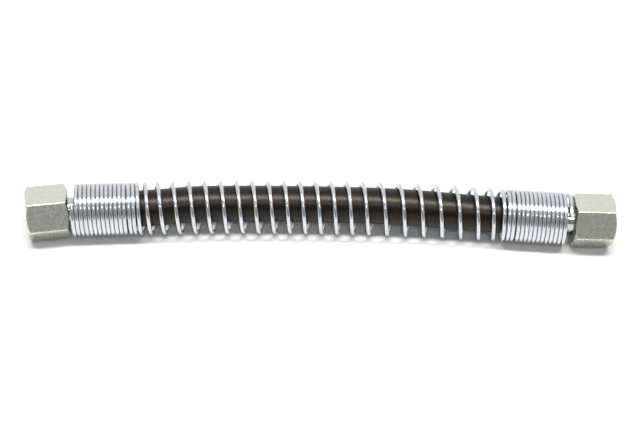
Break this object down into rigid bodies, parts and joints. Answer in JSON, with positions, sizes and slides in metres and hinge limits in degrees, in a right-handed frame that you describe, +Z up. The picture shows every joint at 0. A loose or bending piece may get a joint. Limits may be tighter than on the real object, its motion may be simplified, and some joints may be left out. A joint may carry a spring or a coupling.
{
  "type": "transmission oil line",
  "caption": "Short flexible oil hose in a coiled wire guard, with a crimped fitting and a captive hexagon union nut at each end.",
  "frame": {"origin": "middle of the footprint, at the height of the lowest coils", "axes": "+X along the chord of the line towards the right nut, +Y towards the outside of its gentle bow, +Z up"},
  "size_m": [0.2688, 0.0324, 0.0244],
  "materials": {
    "hose_rubber": "smooth black rubber cover",
    "bright_zinc": "bright zinc-plated steel",
    "satin_zinc": "satin zinc-plated steel"
  },
  "bodies": {
    "line": {"hose": "hose_rubber", "spring_guard": "bright_zinc", "left_ferrule": "bright_zinc", "right_ferrule": "bright_zinc", "left_stem": "bright_zinc", "right_stem": "bright_zinc"},
    "left_nut": {"left_union_nut": "satin_zinc"},
    "right_nut": {"right_union_nut": "satin_zinc"}
  },
  "joints": [
    {"name": "left_nut_spin", "type": "hinge", "parent": "line", "child": "left_nut", "pos_m": [-0.1163, -0.00108, 0.0121], "axis": [-0.986, -0.1668, 0], "continuous": true},
    {"name": "right_nut_spin", "type": "hinge", "parent": "line", "child": "right_nut", "pos_m": [0.11773, -0.00108, 0.0121], "axis": [0.9999, -0.0105, 0], "continuous": true}
  ]
}
